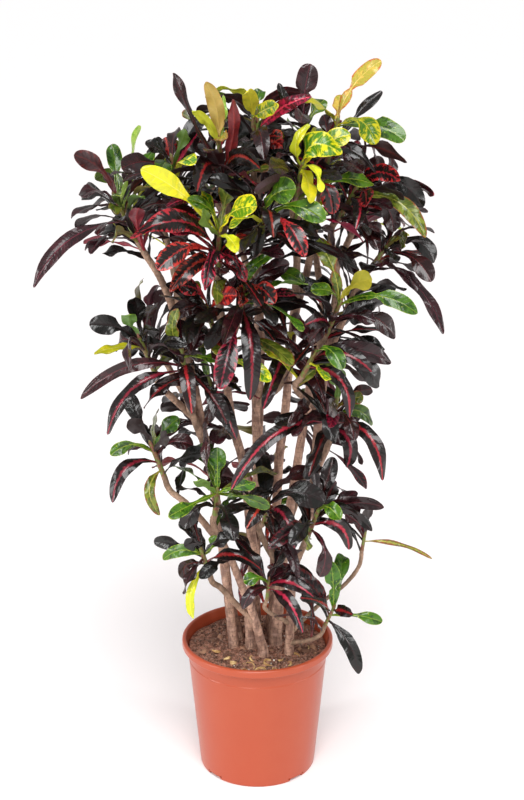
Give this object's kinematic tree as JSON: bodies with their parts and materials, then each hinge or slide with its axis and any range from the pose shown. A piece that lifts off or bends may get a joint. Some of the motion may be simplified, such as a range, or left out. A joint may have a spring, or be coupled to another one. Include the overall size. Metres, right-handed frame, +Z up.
{
  "type": "potted croton",
  "caption": "Tall bushy croton house plant: woody stems with glossy dark, red and yellow leaves in a plain terracotta-coloured nursery pot.",
  "frame": {"origin": "middle of the flat face under the pot, on the pot's axis", "axes": "+Z up along the pot's axis; -Y is the front of the plant, the side that the picture shows; +X to the viewer's right"},
  "size_m": [0.592, 0.4687, 1.1209],
  "materials": {
    "pot": "satin injection-moulded plastic, terracotta orange",
    "soil": "moist crumbly peat with bark chips",
    "bark": "matt tan-brown bark with leaf scars",
    "dark_leaves": "glossy dark wine leaf with pink-red midrib",
    "bright_leaves": "glossy green and yellow leaf"
  },
  "bodies": {
    "root": {"pot": "pot", "soil": "soil", "stem_01": "bark", "stem_02": "bark", "stem_03": "bark", "stem_04": "bark", "stem_05": "bark", "stem_06": "bark", "stem_07": "bark", "stem_08": "bark", "stem_09": "bark", "stem_10": "bark", "shoot_west_high": "dark_leaves", "shoot_west_top": "dark_leaves", "shoot_front_gold": "dark_leaves", "shoot_front_gold_tip": "bright_leaves", "shoot_crown_west": "dark_leaves", "shoot_crown_west_tip": "bright_leaves", "shoot_crown_centre": "dark_leaves", "shoot_crown_centre_tip": "bright_leaves", "shoot_crown_east": "dark_leaves", "shoot_crown_far_east": "dark_leaves", "shoot_crown_far_east_tip": "bright_leaves", "shoot_bright_front": "dark_leaves", "shoot_bright_front_tip": "bright_leaves", "shoot_east_high": "dark_leaves", "shoot_east_mid": "dark_leaves", "shoot_centre_front": "dark_leaves", "shoot_east_front": "dark_leaves", "shoot_east_front_tip": "bright_leaves", "shoot_mid_east": "dark_leaves", "shoot_mid_west": "dark_leaves", "shoot_mid_west_front": "dark_leaves", "shoot_low_west": "dark_leaves", "shoot_green_front": "dark_leaves", "shoot_green_front_tip": "bright_leaves", "shoot_low_left": "dark_leaves", "shoot_rim_front": "dark_leaves", "shoot_low_east": "dark_leaves", "shoot_rim_east": "dark_leaves", "shoot_twig_east": "dark_leaves", "shoot_right_front": "dark_leaves", "shoot_low_centre": "dark_leaves", "shoot_mid_centre_west": "dark_leaves", "shoot_mid_centre": "dark_leaves", "shoot_upper_front_west": "dark_leaves", "shoot_hanging_front": "dark_leaves", "shoot_back_west": "dark_leaves", "shoot_back_north_west": "dark_leaves", "shoot_back_centre": "dark_leaves", "shoot_back_north_east": "dark_leaves", "shoot_back_east": "dark_leaves", "shoot_back_low_centre": "dark_leaves", "shoot_mid_back_west": "dark_leaves", "shoot_mid_back_east": "dark_leaves", "shoot_mid_back": "dark_leaves", "shoot_low_back_west": "dark_leaves", "shoot_low_back_east": "dark_leaves", "shoot_low_back": "dark_leaves"}
  },
  "joints": []
}
